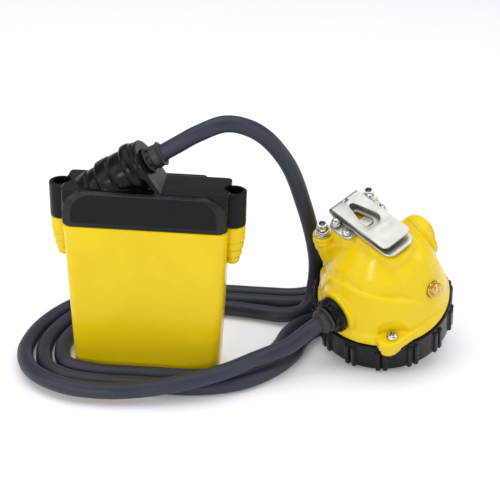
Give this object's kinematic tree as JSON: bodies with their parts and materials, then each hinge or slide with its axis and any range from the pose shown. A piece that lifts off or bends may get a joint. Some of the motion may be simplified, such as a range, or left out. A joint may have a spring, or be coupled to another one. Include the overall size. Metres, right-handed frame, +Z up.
{
  "type": "miner's cap lamp",
  "caption": "Corded miner's cap lamp: a belt-worn battery with ribbed cable tower, a looped rubber cable and a round headpiece with hat clip and rotary switch.",
  "frame": {"origin": "middle of the battery's base, on the surface that it stands on", "axes": "+Z up, +X from the battery towards the headpiece, -Y out of the battery's front"},
  "size_m": [0.2325, 0.1385, 0.1386],
  "materials": {
    "yellow_shell": "moulded, satin gloss",
    "black_shell": "moulded, satin gloss",
    "cable_rubber": "smooth extruded sheath",
    "seal_rubber": "matt",
    "clip_steel": "satin spring steel",
    "screw_steel": "bright plated",
    "contact_brass": "turned",
    "sink_aluminium": "turned",
    "mirror_coat": "vacuum metallised",
    "clear_lens": "polished",
    "emitter": "phosphor under clear resin",
    "circuit_board": "solder mask",
    "tray_plastic": "matt",
    "cell_can": "shrink sleeved can, with the density of a filled cell"
  },
  "bodies": {
    "lamp": {"battery_case": "yellow_shell", "battery_cover": "black_shell", "cover_gasket": "seal_rubber", "cover_screw_left": "screw_steel", "cover_screw_right": "screw_steel", "cell_1": "cell_can", "cell_2": "cell_can", "cell_3": "cell_can", "cell_4": "cell_can", "lower_cell_tray": "tray_plastic", "upper_cell_tray": "tray_plastic", "nickel_strip": "screw_steel", "protection_board": "circuit_board", "tower_collar": "seal_rubber", "cable": "cable_rubber", "headpiece_housing": "yellow_shell", "bezel_ring": "black_shell", "lens_gasket": "seal_rubber", "lens": "clear_lens", "reflector": "mirror_coat", "led_emitter": "emitter", "led_board": "sink_aluminium", "heat_sink": "sink_aluminium", "driver_board": "circuit_board", "switch_body": "tray_plastic", "hook_clip": "clip_steel", "clip_bracket": "clip_steel", "contact_stud": "contact_brass", "gland_nut": "black_shell", "gland_sleeve": "seal_rubber", "bezel_lock_screw": "screw_steel", "charging_post_near": "screw_steel", "charging_post_far": "screw_steel", "post_nut_near": "screw_steel", "post_nut_far": "screw_steel", "clip_screw_near": "screw_steel", "clip_screw_far": "screw_steel", "bracket_screw_near": "screw_steel", "bracket_screw_far": "screw_steel"},
    "switch": {"switch_knob": "yellow_shell", "switch_shaft": "screw_steel"}
  },
  "joints": [
    {"name": "switch_turn", "type": "hinge", "parent": "lamp", "child": "switch", "pos_m": [0.13651, 0.02998, 0.06649], "axis": [0.7947, 0.4112, 0.4464], "range_deg": [0, 90]}
  ]
}
